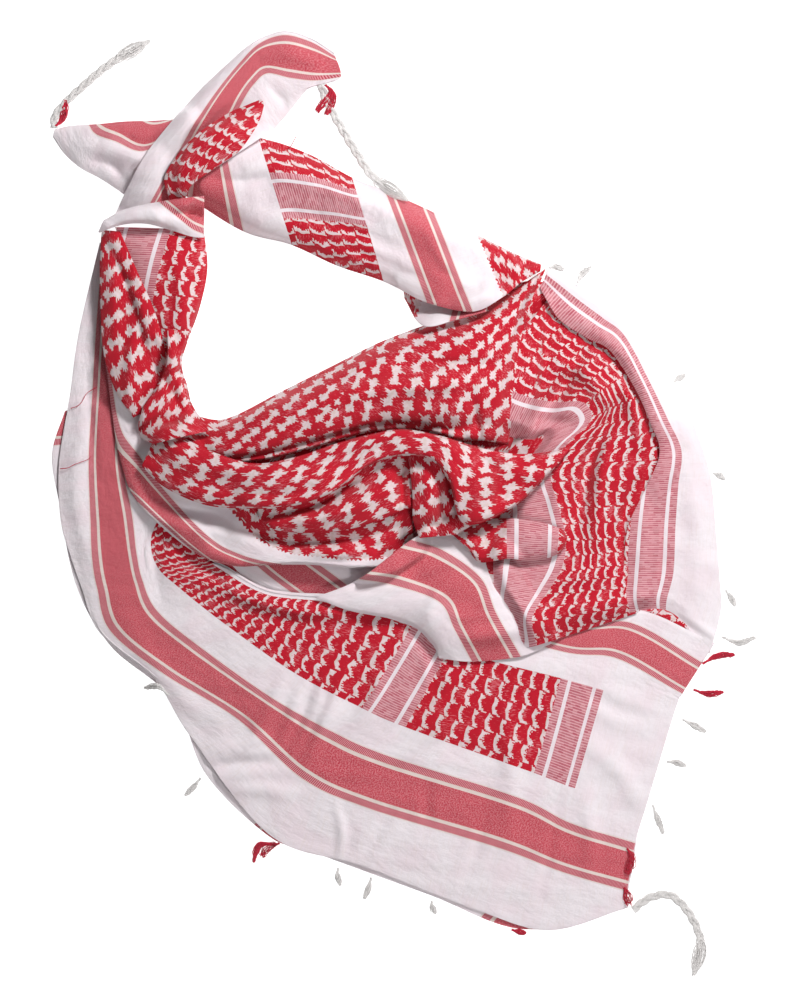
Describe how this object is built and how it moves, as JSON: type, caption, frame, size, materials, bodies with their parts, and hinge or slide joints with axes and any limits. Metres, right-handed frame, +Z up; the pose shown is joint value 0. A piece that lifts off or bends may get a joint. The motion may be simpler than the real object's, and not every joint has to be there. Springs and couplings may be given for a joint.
{
  "type": "keffiyeh headscarf",
  "caption": "Square cotton scarf folded corner to corner, its ends knotted, laid flat with a folded cowl, fringe tassels and braided corner cords.",
  "frame": {"origin": "centre of the underside of the box round the scarf as it lies", "axes": "+Z up from the surface it lies on; +Y towards the knot, along the longest side; +X to the fringed edge"},
  "size_m": [0.8164, 1.0927, 0.0724],
  "materials": {
    "white_cotton": "plain-woven white cotton, matt",
    "red_cotton": "white cotton with a crimson woven pattern, matt",
    "striped_cotton": "white cotton with red woven bands, matt",
    "white_yarn": "twisted white cotton yarn",
    "red_yarn": "twisted crimson cotton yarn"
  },
  "bodies": {
    "root": {"back_panel": "white_cotton", "side_panel": "white_cotton", "front_panel": "white_cotton", "inner_panel": "white_cotton", "right_rim": "white_cotton", "tail_end": "white_cotton", "knot_loop": "white_cotton", "cowl_layers": "white_cotton", "left_arm_layers": "white_cotton", "right_arm_layers": "white_cotton", "shadow_pleat": "red_cotton", "right_panel": "red_cotton", "third_fold": "red_cotton", "second_fold": "red_cotton", "middle_fold": "red_cotton", "main_swag": "red_cotton", "top_roll": "red_cotton", "left_arm_outer": "red_cotton", "left_arm_lower": "red_cotton", "knot_leaf": "red_cotton", "band_pleat": "striped_cotton", "cross_roll": "striped_cotton", "left_arm_inner": "striped_cotton", "arm_flap": "striped_cotton", "right_arm": "striped_cotton", "left_end": "striped_cotton", "edge_tassel_01": "white_yarn", "edge_tassel_02": "white_yarn", "edge_tassel_03": "white_yarn", "edge_tassel_04": "white_yarn", "edge_tassel_05": "white_yarn", "edge_tassel_06": "white_yarn", "edge_tassel_07": "red_yarn", "edge_tassel_08": "red_yarn", "edge_tassel_09": "white_yarn", "edge_tassel_10": "white_yarn", "edge_tassel_11": "white_yarn", "edge_tassel_12": "white_yarn", "edge_tassel_13": "white_yarn", "edge_tassel_14": "red_yarn", "edge_tassel_15": "white_yarn", "edge_tassel_16": "white_yarn", "edge_tassel_17": "white_yarn", "edge_tassel_18": "red_yarn", "corner_braid_1": "white_yarn", "corner_braid_2": "white_yarn", "corner_braid_3": "white_yarn"}
  },
  "joints": []
}
